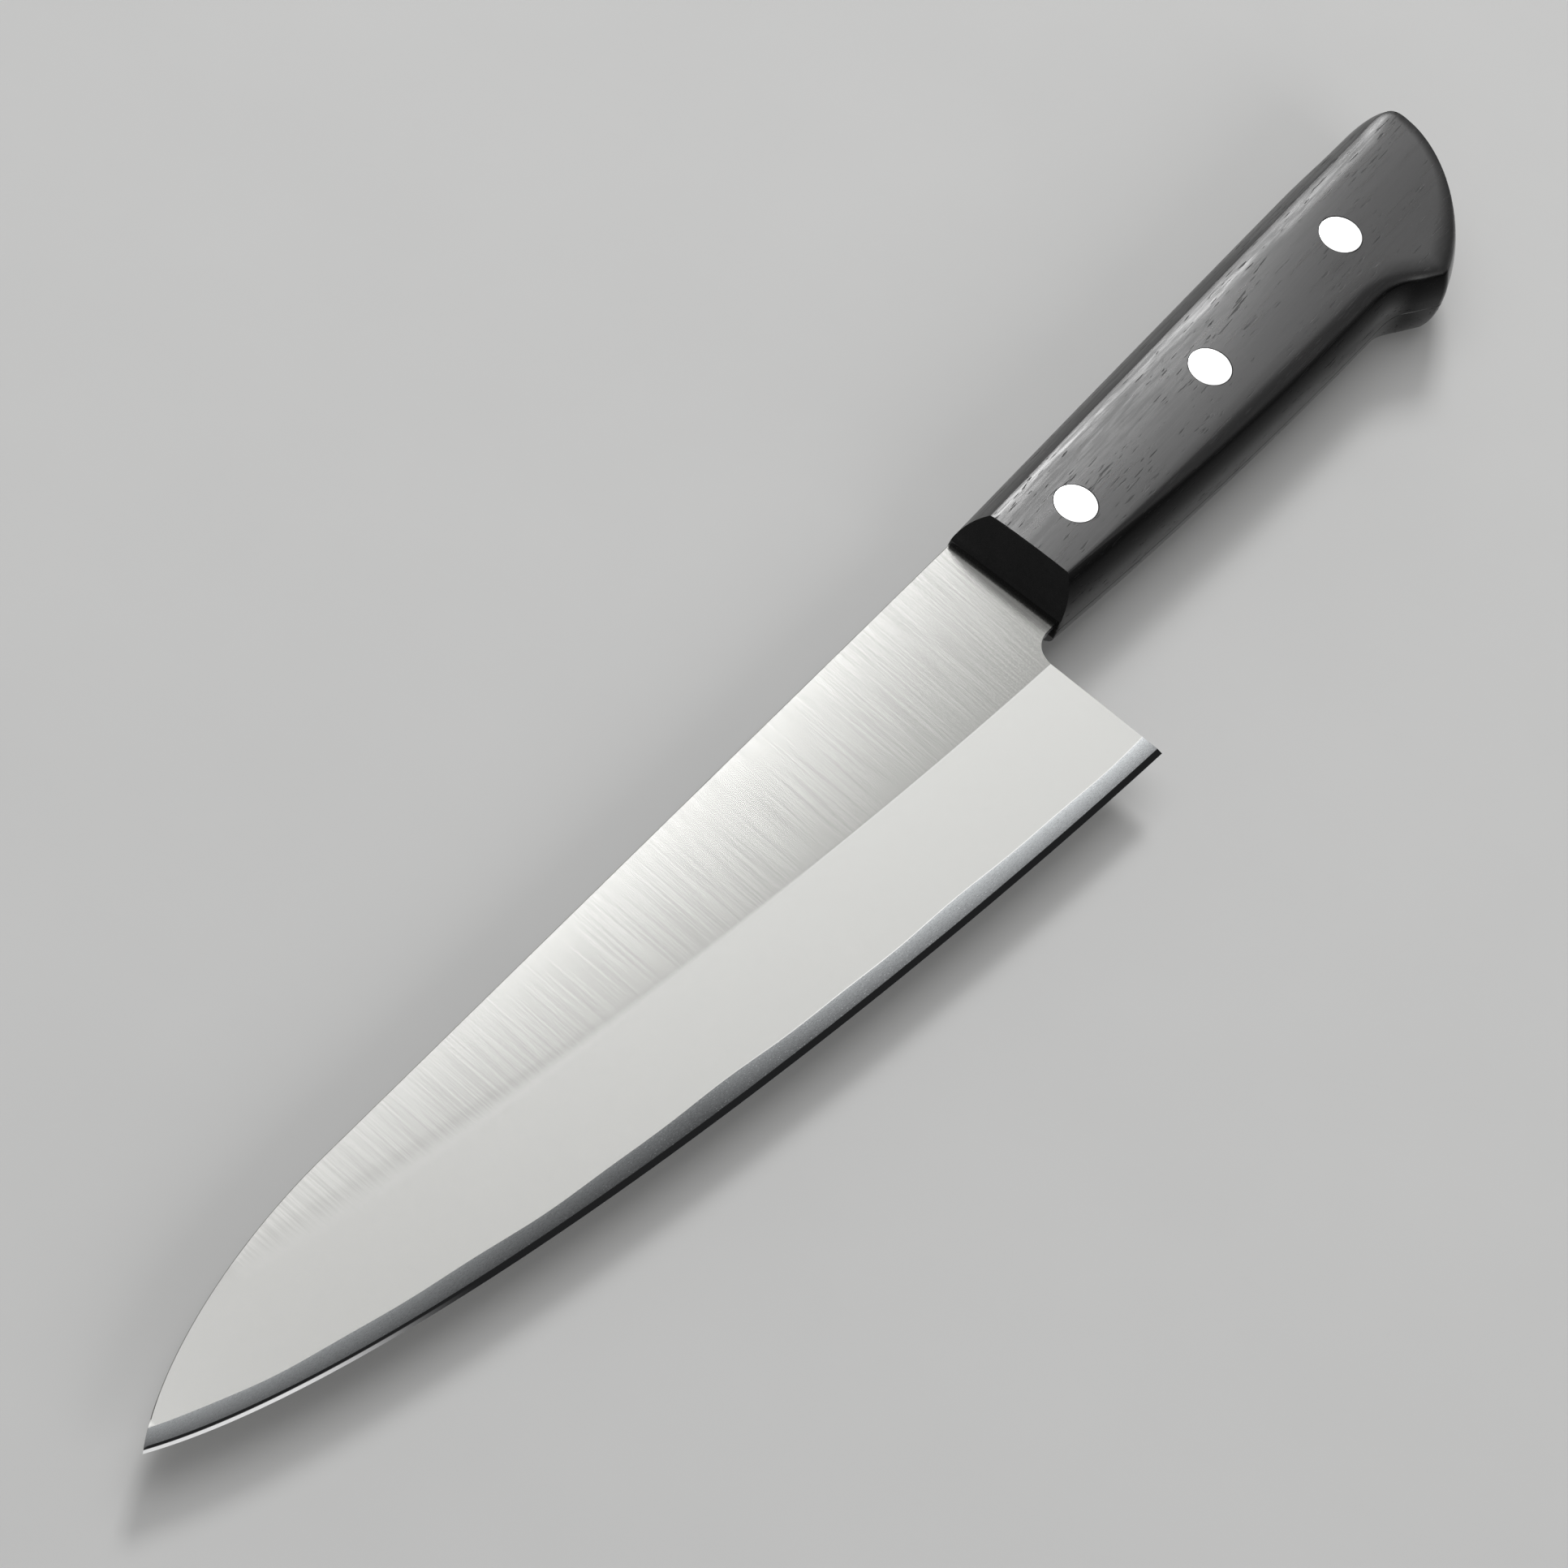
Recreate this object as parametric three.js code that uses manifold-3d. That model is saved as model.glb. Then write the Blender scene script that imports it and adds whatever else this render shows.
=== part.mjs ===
// Chef knife: a three-layer blade with a concealed tang between two riveted handle scales.
// Millimetres, +Z up. The knife lies on its right side: +X to the butt, +Y to the spine, edge at -Y.
// Inside this file x = 0 is the front of the handle, y = 0 the blade's spine, z = 0 the blade's middle.
import * as THREE from 'three';
import { mergeVertices } from 'three/addons/utils/BufferGeometryUtils.js';
import Module from 'manifold-3d';

const wasm = await Module();
wasm.setup();

// Blade
const bladeThick = 2.0;        // at the spine, cladding and core together
const coreThick = 0.74;        // hard middle layer, bare along the edge
const heelX = -6.6;            // straight heel line, square to the spine
const heelY = -47.1;           // lowest point of the edge
const chinY = -24.9;           // where the heel line turns into the neck
const neckY = -20.9;           // lower side of the neck at the handle
const tipX = -216.8;
const tipY = -12.4;
const spineBendX = -160;       // the spine is straight behind this
const bevelWide = 22.2;        // height of the ground bevel, edge to grind line
const honedWide = 1.0;         // narrow honed band at the very edge
const honedHalf = 0.27;        // half thickness where the honed band ends

// Tang
const tangLong = 104;
const tangFront = { top: -2.3, low: -19.4 };
const tangRear = { top: -5.4, low: -15.8 };
const tangRoom = 0.3;          // room around the tang in its pocket

// Handle
const handleThick = 18;
const sideBulge = 3.6;         // how far the sides bow out past the flat faces
const seamBand = 1.0;          // upright band along the joint of the scales
const landHigh = 2.05;         // upright land at the front, above the blade's middle
const frontSlope = 0.515;      // run of the front chamfer for each mm of rise
const hook = { x: 99.8, y: -25.3 };
const faceEndX = 119.4;

// Rivets
const rivets = [
  { name: 'front', x: 15.3, y: -11.5 },
  { name: 'middle', x: 53.6, y: -11.0 },
  { name: 'rear', x: 91.9, y: -10.6 },
];
const headR = 3.65;
const headHigh = 2.0;
const barrelR = 2.4;
const boreR = 1.7;
const pinR = 1.55;
const headRoom = 0.1;
const barrelRoom = 0.2;
const endRoom = 0.4;           // between the tip of the pin or barrel and what faces it
const capHigh = 2.8;           // solid top of the socket half

const roundSteps = 32;
const curveSteps = 14;
const edgeSteps = 44;
const far = 400;               // larger than the knife

// ---- solids ----

function toSolid(geometry) {
  const plain = geometry.index ? geometry.toNonIndexed() : geometry.clone();
  plain.deleteAttribute('normal');
  plain.deleteAttribute('uv');
  const merged = mergeVertices(plain, 1e-4);
  const mesh = new wasm.Mesh({
    numProp: 3,
    vertProperties: new Float32Array(merged.attributes.position.array),
    triVerts: new Uint32Array(merged.index.array),
  });
  return new wasm.Manifold(mesh);
}

function toGeometry(solid) {
  const mesh = solid.getMesh();
  const geometry = new THREE.BufferGeometry();
  geometry.setAttribute('position', new THREE.BufferAttribute(mesh.vertProperties, 3));
  geometry.setIndex(new THREE.BufferAttribute(mesh.triVerts, 1));
  geometry.computeVertexNormals();
  return geometry;
}

// A box between two corners.
function block(low, high) {
  const box = new THREE.BoxGeometry(high.x - low.x, high.y - low.y, high.z - low.z);
  box.translate((low.x + high.x) / 2, (low.y + high.y) / 2, (low.z + high.z) / 2);
  return toSolid(box);
}

// Everything between two heights.
function slab(lowZ, highZ) {
  return block(new THREE.Vector3(-far, -far, lowZ), new THREE.Vector3(far, far, highZ));
}

// A flat outline made thick, equally up and down.
function plate(shape, thick) {
  const geometry = new THREE.ExtrudeGeometry(shape, {
    depth: thick,
    bevelEnabled: false,
    curveSegments: curveSteps,
  });
  geometry.translate(0, 0, -thick / 2);
  return toSolid(geometry);
}

// An upright round bar at one rivet.
function bar(place, radius, lowZ, highZ) {
  const geometry = new THREE.CylinderGeometry(radius, radius, highZ - lowZ, roundSteps);
  geometry.rotateX(Math.PI / 2);
  geometry.translate(place.x, place.y, (lowZ + highZ) / 2);
  return toSolid(geometry);
}

// ---- blade ----

const edgeCurve = new THREE.CubicBezierCurve(
  new THREE.Vector2(tipX, tipY),
  new THREE.Vector2(-179, -32.5),
  new THREE.Vector2(-75, -44),
  new THREE.Vector2(heelX, heelY),
);

// Room of the given width can be added all round the tang, for its pocket.
function tangShape(room = 0) {
  const endX = tangLong + room;
  const cornerR = 3;
  const shape = new THREE.Shape();
  shape.moveTo(-1, tangFront.low - room);
  shape.lineTo(0, tangFront.low - room);
  shape.lineTo(endX - cornerR, tangRear.low - room);
  shape.quadraticCurveTo(endX, tangRear.low - room, endX, tangRear.low + cornerR);
  shape.lineTo(endX, tangRear.top - cornerR);
  shape.quadraticCurveTo(endX, tangRear.top + room, endX - cornerR, tangRear.top + room);
  shape.lineTo(0, tangFront.top + room);
  shape.lineTo(-1, tangFront.top + room);
  return shape;
}

// Blade and neck from above. The edge side runs past the edge, because the grind ends it.
function bladeShape() {
  const below = heelY - 8;
  const ahead = tipX - 8;
  const shape = new THREE.Shape();
  shape.moveTo(heelX, below);
  shape.lineTo(heelX, chinY);
  shape.bezierCurveTo(heelX + 0.4, chinY + 2.4, -4.7, neckY, -1.6, neckY);
  shape.lineTo(0, neckY);
  shape.lineTo(0, 0);
  shape.lineTo(spineBendX, 0);
  shape.bezierCurveTo(-178, 0, -203, -3.7, tipX, tipY);
  shape.lineTo(ahead, tipY - 5.04);
  shape.lineTo(ahead, below);
  return shape;
}

// The wedge that the grinding leaves: one cross-section carried along the edge.
function grindSolid() {
  const half = bladeThick / 2;
  const back = 80;
  const section = new THREE.Shape([
    new THREE.Vector2(0, 0),
    new THREE.Vector2(honedWide, -honedHalf),
    new THREE.Vector2(bevelWide, -half),
    new THREE.Vector2(back, -half),
    new THREE.Vector2(back, half),
    new THREE.Vector2(bevelWide, half),
    new THREE.Vector2(honedWide, honedHalf),
  ]);
  const edge = edgeCurve.getPoints(edgeSteps);
  const tipRun = edge[0].clone().sub(edge[1]).setLength(12);
  const stations = [
    edge[0].clone().add(tipRun),
    ...edge,
    new THREE.Vector2(tangLong + 30, heelY),
  ];
  const steps = stations.length - 1;
  const geometry = new THREE.ExtrudeGeometry(section, { depth: steps, steps, bevelEnabled: false });
  const spot = geometry.attributes.position;
  for (let i = 0; i < spot.count; i += 1) {
    const station = stations[Math.round(spot.getZ(i))];
    spot.setXYZ(i, station.x, station.y + spot.getX(i), spot.getY(i));
  }
  return toSolid(geometry);
}

// The whole ground blade with its drilled tang, before it is told apart into layers.
function wholeBlade() {
  let blank = plate(bladeShape(), bladeThick + 1).add(plate(tangShape(), bladeThick + 1));
  for (const place of rivets) {
    blank = blank.subtract(bar(place, barrelR + barrelRoom, -bladeThick, bladeThick));
  }
  return blank.intersect(grindSolid());
}

const blade = wholeBlade();

function bladeCore() {
  return blade.intersect(slab(-coreThick / 2, coreThick / 2));
}

function leftCladding() {
  return blade.intersect(slab(coreThick / 2, bladeThick));
}

// The blade is the same on both sides.
function rightCladding() {
  return leftCladding().mirror([0, 0, 1]);
}

// ---- handle ----

// Outline of the flat faces. It starts ahead of the front, which is cut off square later.
function faceShape() {
  const shape = new THREE.Shape();
  shape.moveTo(-12, -3.7);
  shape.quadraticCurveTo(50, -2.2, 112, -1.25);
  shape.bezierCurveTo(116, -1.15, faceEndX, -1.9, faceEndX, -4.6);
  shape.bezierCurveTo(faceEndX, -11.2, 112.6, -21.2, hook.x, hook.y);
  shape.bezierCurveTo(95.5, -23.6, 92.5, -20.5, 84, -20.5);
  shape.bezierCurveTo(60, -20.75, 32, -20.3, 0, -18.15);
  shape.lineTo(-12, -17.35);
  return shape;
}

// Full handle with sides that bow out from the flat faces to the seam on a round arc.
function handleBody() {
  const half = handleThick / 2;
  const rise = half - seamBand / 2;
  const geometry = new THREE.ExtrudeGeometry(faceShape(), {
    depth: seamBand,
    bevelEnabled: true,
    bevelThickness: rise,
    bevelSize: sideBulge,
    bevelSegments: 8,
    curveSegments: curveSteps,
  });
  geometry.translate(0, 0, -seamBand / 2);
  const arcR = (sideBulge ** 2 + rise ** 2) / (2 * sideBulge);
  const spot = geometry.attributes.position;
  for (let i = 0; i < spot.count; i += 1) {
    const z = spot.getZ(i);
    const part = Math.min(1, Math.max(0, (Math.abs(z) - seamBand / 2) / rise));
    const inset = sideBulge * (1 - Math.sqrt(1 - part ** 2));
    const lift = Math.sqrt(inset * (2 * arcR - inset));
    spot.setZ(i, Math.sign(z) * (seamBand / 2 + lift));
  }
  return toSolid(geometry);
}

// What is cut off the front: square up to the land, then sloping back to each flat face.
function frontCutter() {
  const half = handleThick / 2;
  const over = half + 2;
  const ahead = -40;
  const slopeX = (over - landHigh) * frontSlope;
  const side = new THREE.Shape([
    new THREE.Vector2(ahead, -over),
    new THREE.Vector2(slopeX, -over),
    new THREE.Vector2(0, -landHigh),
    new THREE.Vector2(0, landHigh),
    new THREE.Vector2(slopeX, over),
    new THREE.Vector2(ahead, over),
  ]);
  const geometry = new THREE.ExtrudeGeometry(side, { depth: 2 * far, bevelEnabled: false });
  geometry.rotateX(Math.PI / 2);
  geometry.translate(0, far, 0);
  return toSolid(geometry);
}

// Both scales as one, with the tang pocket and the rivet holes.
function wholeHandle() {
  const half = handleThick / 2;
  let body = handleBody().subtract(frontCutter());
  body = body.subtract(plate(tangShape(tangRoom), bladeThick));
  for (const place of rivets) {
    body = body.subtract(bar(place, barrelR + barrelRoom, -half, half));
    body = body.subtract(bar(place, headR + headRoom, half - headHigh, half + 1));
    body = body.subtract(bar(place, headR + headRoom, -half - 1, headHigh - half));
  }
  return body;
}

const handle = wholeHandle();

function leftScale() {
  return handle.intersect(slab(0, handleThick));
}

function rightScale() {
  return handle.intersect(slab(-handleThick, 0));
}

// ---- rivets ----

function turned(profile) {
  const geometry = new THREE.LatheGeometry(profile.map(([r, z]) => new THREE.Vector2(r, z)), roundSteps);
  geometry.rotateX(Math.PI / 2);
  geometry.rotateZ(Math.PI / 2);
  return geometry;
}

// Left half: a head on a hollow barrel that reaches through both scales.
function rivetSocket() {
  const half = handleThick / 2;
  const seat = half - headHigh;
  return turned([
    [0, half - capHigh],
    [boreR, half - capHigh],
    [boreR, endRoom - seat],
    [barrelR, endRoom - seat],
    [barrelR, seat],
    [headR, seat],
    [headR, half],
    [0, half],
  ]);
}

// Right half: a head on a pin that is driven into the barrel.
function rivetPin() {
  const half = handleThick / 2;
  const seat = half - headHigh;
  return turned([
    [0, -half],
    [headR, -half],
    [headR, -seat],
    [pinR, -seat],
    [pinR, half - capHigh - endRoom],
    [0, half - capHigh - endRoom],
  ]);
}

// ---- materials ----

function coreSteel() {
  return new THREE.MeshStandardMaterial({ color: 0x8b9094, metalness: 1, roughness: 0.32 });
}

function satinSteel() {
  return new THREE.MeshStandardMaterial({ color: 0xd2d3cd, metalness: 1, roughness: 0.42 });
}

function blackWood() {
  return new THREE.MeshStandardMaterial({ color: 0x1d1d1e, metalness: 0, roughness: 0.45 });
}

function rivetMetal() {
  return new THREE.MeshStandardMaterial({ color: 0xe4e5e6, metalness: 1, roughness: 0.18 });
}

// ---- assembly ----

const knife = new THREE.Group();

function fit(name, geometry, material, x = 0, y = 0) {
  const mesh = new THREE.Mesh(geometry, material);
  mesh.name = name;
  mesh.position.set(x, y, 0);
  knife.add(mesh);
}

fit('blade_core', toGeometry(bladeCore()), coreSteel());
fit('blade_cladding_left', toGeometry(leftCladding()), satinSteel());
fit('blade_cladding_right', toGeometry(rightCladding()), satinSteel());
fit('handle_scale_left', toGeometry(leftScale()), blackWood());
fit('handle_scale_right', toGeometry(rightScale()), blackWood());
for (const place of rivets) {
  fit(`rivet_socket_${place.name}`, rivetSocket(), rivetMetal(), place.x, place.y);
  fit(`rivet_pin_${place.name}`, rivetPin(), rivetMetal(), place.x, place.y);
}

// The origin is under the middle of the knife's box, on the surface that it lies on.
const box = new THREE.Box3().setFromObject(knife);
const middle = box.getCenter(new THREE.Vector3());
knife.position.set(-middle.x, -middle.y, -box.min.z);
knife.updateMatrixWorld(true);

export default knife;
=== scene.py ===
import bmesh
import bpy
from math import cos, pi, radians, sin, sqrt
from mathutils import Matrix, Vector


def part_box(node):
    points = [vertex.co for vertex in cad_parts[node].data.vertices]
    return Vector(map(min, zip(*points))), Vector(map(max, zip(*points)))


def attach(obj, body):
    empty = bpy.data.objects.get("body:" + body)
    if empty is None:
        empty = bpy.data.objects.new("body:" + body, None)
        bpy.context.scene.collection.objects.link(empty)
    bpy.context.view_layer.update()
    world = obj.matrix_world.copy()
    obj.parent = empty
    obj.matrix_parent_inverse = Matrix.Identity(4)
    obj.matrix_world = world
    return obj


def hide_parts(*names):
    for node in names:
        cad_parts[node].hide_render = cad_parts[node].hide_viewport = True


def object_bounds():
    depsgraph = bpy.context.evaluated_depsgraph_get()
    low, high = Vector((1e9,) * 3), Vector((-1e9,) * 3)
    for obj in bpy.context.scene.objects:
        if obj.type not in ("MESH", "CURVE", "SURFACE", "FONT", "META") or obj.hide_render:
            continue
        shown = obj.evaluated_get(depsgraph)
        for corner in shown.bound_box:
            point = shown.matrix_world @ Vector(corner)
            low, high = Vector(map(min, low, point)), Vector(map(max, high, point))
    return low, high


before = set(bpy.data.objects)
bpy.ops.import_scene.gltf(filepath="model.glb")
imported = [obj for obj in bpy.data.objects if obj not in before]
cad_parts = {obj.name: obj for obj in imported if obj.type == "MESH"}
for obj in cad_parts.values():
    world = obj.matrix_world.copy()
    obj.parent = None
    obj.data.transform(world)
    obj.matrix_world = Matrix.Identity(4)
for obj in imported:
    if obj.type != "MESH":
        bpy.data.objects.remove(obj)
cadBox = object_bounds()
mm = 0.001

# every size below is in millimetres from one zero:
# the front of the handle, the spine of the blade, the middle of its thickness
coreLow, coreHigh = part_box("blade_core")
zero = Vector((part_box("handle_scale_left")[0].x, coreHigh.y, (coreLow.z + coreHigh.z) / 2))


def place(x, y, z):
    return zero + Vector((x, y, z)) * mm


# where a CAD corner lies, in millimetres from that zero
def fromZero(corner):
    return (corner - zero) / mm


def blend(low, high, part):
    return low + (high - low) * part


# 0 before start, 1 after end, eased in between
def ramp(value, start, end):
    part = min(1.0, max(0.0, (value - start) / (end - start)))
    return part * part * (3 - 2 * part)


# a point on a sweep through control points, and the direction of travel there
def sweep(points, t):
    rows = [Vector(p) for p in points]
    while len(rows) > 2:
        rows = [a.lerp(b, t) for a, b in zip(rows, rows[1:])]
    return rows[0].lerp(rows[1], t), (rows[1] - rows[0]).normalized()


# the t where a rising or falling function passes zero
def solve(function, low, high):
    rising = function(high) > function(low)
    for halving in range(50):
        middle = (low + high) / 2
        if (function(middle) > 0) == rising:
            high = middle
        else:
            low = middle
    return (low + high) / 2


# faces come as loops of points in millimetres, and points that meet are welded
def weld(name, loops):
    shape = bmesh.new()
    for loop in loops:
        shape.faces.new([shape.verts.new(place(*p)) for p in loop])
    bmesh.ops.remove_doubles(shape, verts=shape.verts, dist=0.4e-6)
    bmesh.ops.dissolve_degenerate(shape, edges=shape.edges, dist=0.2e-6)
    loose = [v for v in shape.verts if not v.link_faces]
    bmesh.ops.delete(shape, geom=loose, context="VERTS")
    bmesh.ops.recalc_face_normals(shape, faces=shape.faces)
    mesh = bpy.data.meshes.new(name)
    shape.to_mesh(mesh)
    shape.free()
    piece = bpy.data.objects.new(name, mesh)
    bpy.context.scene.collection.objects.link(piece)
    return piece


# quads between neighbouring rows of points
def skin(rows, closed=False):
    loops = []
    for near, far in zip(rows, rows[1:]):
        for k in range(len(near) if closed else len(near) - 1):
            j = (k + 1) % len(near)
            loops.append([near[k], far[k], far[j], near[j]])
    return loops


# the modifiers' result becomes the mesh itself
def settle(piece):
    depsgraph = bpy.context.evaluated_depsgraph_get()
    made = bpy.data.meshes.new_from_object(piece.evaluated_get(depsgraph))
    piece.modifiers.clear()
    piece.data = made


def cutAway(piece, cutters):
    for cutter in cutters:
        cut = piece.modifiers.new("cut", "BOOLEAN")
        cut.operation = "DIFFERENCE"
        cut.solver = "EXACT"
        cut.object = cutter
    settle(piece)


def shadeBy(piece, angle):
    piece.data.shade_smooth()
    piece.data.set_sharp_from_angle(angle=radians(angle))


def finishPiece(piece, material, slot, *nodes):
    piece.data.materials.clear()
    piece.data.materials.append(material)
    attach(piece, "root")
    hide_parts(*nodes)
    print("piece", piece.name, len(piece.data.polygons), "faces")


def newMaterial(name):
    material = bpy.data.materials.new(name)
    material.use_nodes = True
    tree = material.node_tree
    tree.nodes.clear()
    output = tree.nodes.new("ShaderNodeOutputMaterial")
    shader = tree.nodes.new("ShaderNodeBsdfPrincipled")
    tree.links.new(shader.outputs["BSDF"], output.inputs["Surface"])
    return material, tree, shader


def feed(tree, socket, value):
    if isinstance(value, bpy.types.NodeSocket):
        tree.links.new(value, socket)
    else:
        socket.default_value = value


def maths(tree, operation, first, second=0.0):
    node = tree.nodes.new("ShaderNodeMath")
    node.operation = operation
    feed(tree, node.inputs[0], first)
    feed(tree, node.inputs[1], second)
    return node.outputs[0]


def spread(tree, value, fromLow, fromHigh, toLow=0.0, toHigh=1.0, kind="SMOOTHSTEP"):
    node = tree.nodes.new("ShaderNodeMapRange")
    node.interpolation_type = kind
    for socket, given in zip(node.inputs, (value, fromLow, fromHigh, toLow, toHigh)):
        feed(tree, socket, given)
    return node.outputs[0]


def mixed(tree, factor, first, second):
    node = tree.nodes.new("ShaderNodeMix")
    node.data_type = "RGBA"
    feed(tree, node.inputs["Factor"], factor)
    feed(tree, node.inputs["A"], first)
    feed(tree, node.inputs["B"], second)
    return node.outputs["Result"]


def mixedValue(tree, factor, first, second):
    node = tree.nodes.new("ShaderNodeMix")
    feed(tree, node.inputs["Factor"], factor)
    feed(tree, node.inputs["A"], first)
    feed(tree, node.inputs["B"], second)
    return node.outputs["Result"]


# object coordinates in millimetres, turned about Z and then squeezed or stretched
def ownPlace(tree, stretch=(1, 1, 1), turn=0.0):
    coords = tree.nodes.new("ShaderNodeTexCoord")
    rotate = tree.nodes.new("ShaderNodeMapping")
    rotate.inputs["Rotation"].default_value = (0, 0, radians(turn))
    scale = tree.nodes.new("ShaderNodeMapping")
    scale.inputs["Scale"].default_value = [s / mm for s in stretch]
    tree.links.new(coords.outputs["Object"], rotate.inputs["Vector"])
    tree.links.new(rotate.outputs["Vector"], scale.inputs["Vector"])
    return scale.outputs["Vector"]


def noise(tree, vector, scale=1.0, detail=2.0, roughness=0.5):
    node = tree.nodes.new("ShaderNodeTexNoise")
    feed(tree, node.inputs["Vector"], vector)
    node.inputs["Scale"].default_value = scale
    node.inputs["Detail"].default_value = detail
    node.inputs["Roughness"].default_value = roughness
    return node.outputs["Fac"]


def measure(tree, name):
    node = tree.nodes.new("ShaderNodeAttribute")
    node.attribute_name = name
    return node.outputs["Fac"]


# a roughness that wanders with a pattern, so much below and above its middle
def around(tree, pattern, middle, less, more):
    return spread(tree, pattern, 0.3, 0.7, middle - less, middle + more, "LINEAR")


# where a spot lies in millimetres from the zero, along the knife and up towards the spine
def alongAndUp(tree):
    coords = tree.nodes.new("ShaderNodeTexCoord")
    split = tree.nodes.new("ShaderNodeSeparateXYZ")
    tree.links.new(coords.outputs["Object"], split.inputs[0])
    along = maths(tree, "DIVIDE", maths(tree, "SUBTRACT", split.outputs["X"], zero.x), mm)
    up = maths(tree, "DIVIDE", maths(tree, "SUBTRACT", split.outputs["Y"], zero.y), mm)
    return along, up


def raised(tree, height, strength, distance):
    node = tree.nodes.new("ShaderNodeBump")
    node.inputs["Strength"].default_value = strength
    node.inputs["Distance"].default_value = distance * mm
    tree.links.new(height, node.inputs["Height"])
    return node.outputs["Normal"]


blade = {
    "tip": (fromZero(coreLow).x, -12.4),
    "heel": (-6.6, fromZero(coreLow).y),
    "chinY": -24.9,              # where the heel line turns into the neck
    "neckY": -20.9,
    "spineBend": (-160, 0),      # the spine is straight behind this
    "spinePull": [(-178, 0), (-203, -3.7)],
    "edgePull": [(-179, -32.5), (-75, -44)],
    "half": fromZero(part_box("blade_cladding_left")[1]).z,  # half thickness
    "bevelWide": 22.2,
    "honedWide": 1.0,            # the last band, down to the edge
    "honedHalf": 0.27,
    "stripWide": 3.9,            # bare core above the edge
    "stripWave": 0.3,            # how far the layer line wanders
    "eased": 0.14,               # broken corner along the spine
    "stations": 170,             # cross-sections from tip to heel
    "tangLong": 104,
    "tangTop": (-2.3, -5.4),     # front, rear
    "tangLow": (-19.4, -15.8),
    "tangCorner": 3,
}

edgePoints = [blade["tip"], *blade["edgePull"], blade["heel"]]
spinePoints = [blade["spineBend"], *blade["spinePull"], blade["tip"]]


def edgeAt(t):
    return sweep(edgePoints, t)[0]


def spineY(x):
    if x >= blade["spineBend"][0]:
        return blade["spineBend"][1]
    t = solve(lambda t: sweep(spinePoints, t)[0].x - x, 0.0, 1.0)
    return sweep(spinePoints, t)[0].y


# the layer line wanders slowly, as forged layers do
def stripAt(x):
    wander = 0.55 * sin(x / 9.3 + 0.6) + 0.3 * sin(x / 4.1 + 2.0) + 0.35 * sin(x / 21.0)
    return blade["stripWide"] + blade["stripWave"] * wander * ramp(x, -214, -190)


bevelSlope = (blade["half"] - blade["honedHalf"]) / (blade["bevelWide"] - blade["honedWide"])


# half thickness at a height above the edge
def bevelHalf(up):
    return min(blade["half"], blade["honedHalf"] + (up - blade["honedWide"]) * bevelSlope)


def heightOver(t):
    edge = edgeAt(t)
    return spineY(edge.x) - edge.y


# stations from tip to heel, with one where the layer line and one where the grind line meet the spine
layerEnd = solve(lambda t: heightOver(t) - stripAt(edgeAt(t).x), 0.0, 0.2)
grindEnd = solve(lambda t: heightOver(t) - blade["bevelWide"], 0.0, 0.5)
stationList = [i / blade["stations"] for i in range(blade["stations"] + 1)]
stationList = [t for t in stationList if min(abs(t - layerEnd), abs(t - grindEnd)) > 0.001]
stationList = sorted(stationList + [layerEnd, grindEnd])


# one cross-section of the cladding, from the inner spine corner
# round the outside to the layer line, and back
def claddingRow(t):
    edge = edgeAt(t)
    top = spineY(edge.x)
    strip = edge.y + stripAt(edge.x)
    inner = bevelHalf(stripAt(edge.x))
    eased = min(blade["eased"], max(0.0, top - strip) * 0.3)
    soft = blend(3.0, 0.3, ramp(edge.x, -190, -60))  # the grind line is crisp at the heel only
    grind = edge.y + blade["bevelWide"]
    heights = [top - eased]
    heights += [blend(top - eased, grind + soft, k / 4) for k in (1, 2, 3)]
    heights += [grind + soft, grind, grind - soft]
    heights += [blend(grind - soft, strip, k / 5) for k in (1, 2, 3, 4)]
    heights = [min(max(y, strip), top - eased) for y in heights]
    outer = [(edge.x, y, max(inner, bevelHalf(y - edge.y))) for y in heights]
    cornerHigh = max(inner, outer[0][2] - eased)
    back = [(edge.x, strip, inner), (edge.x, min(grind, top), inner)]
    return [(edge.x, top, inner), (edge.x, top, cornerHigh), *outer, *back]


# half thickness of the bare core, from the layer line down to the edge
def coreRow(t):
    edge = edgeAt(t)
    top = spineY(edge.x)
    wide = stripAt(edge.x)
    inner = bevelHalf(wide)
    rows = [(top, inner), (edge.y + blade["bevelWide"], inner), (edge.y + wide, inner)]
    for part in (0.25, 0.5, 0.75, 1.0):
        up = blend(wide, blade["honedWide"], part)
        rows.append((edge.y + up, inner - (inner - blade["honedHalf"]) * part ** 1.5))
    room = max(0.0, top - edge.y)
    upper = []
    for y, half in rows:
        fits = min(y, top)
        reach = min(1.0, room / blade["honedWide"])
        limit = bevelHalf(max(fits - edge.y, blade["honedWide"]))
        upper.append((edge.x, fits, min(half, limit) * reach))
    lower = [(x, y, -z) for x, y, z in reversed(upper)]
    return [*upper, (edge.x, edge.y, 0.0), *lower]


# the rounded rear end of the tang, lower corner first
def tangEnd(long, lowY, topY, corner):
    low = [(long - corner, lowY), (long, lowY), (long, lowY + corner)]
    top = [(long, topY - corner), (long, topY), (long - corner, topY)]
    return [tuple(sweep(bend, k / 6)[0]) for bend in (low, top) for k in range(7)]


# neck and tang from above, from the heel line round to the spine
def neckOutline():
    heelX = blade["heel"][0]
    curve = [(heelX, blade["chinY"]), (heelX + 0.4, blade["chinY"] + 2.4)]
    curve += [(-4.7, blade["neckY"]), (-1.6, blade["neckY"])]
    points = [tuple(sweep(curve, k / 12)[0]) for k in range(13)]
    long, corner = blade["tangLong"], blade["tangCorner"]
    points += [(0, blade["neckY"]), (0, blade["tangLow"][0])]
    points += tangEnd(long, blade["tangLow"][1], blade["tangTop"][1], corner)
    return points + [(0, blade["tangTop"][0])]


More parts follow.
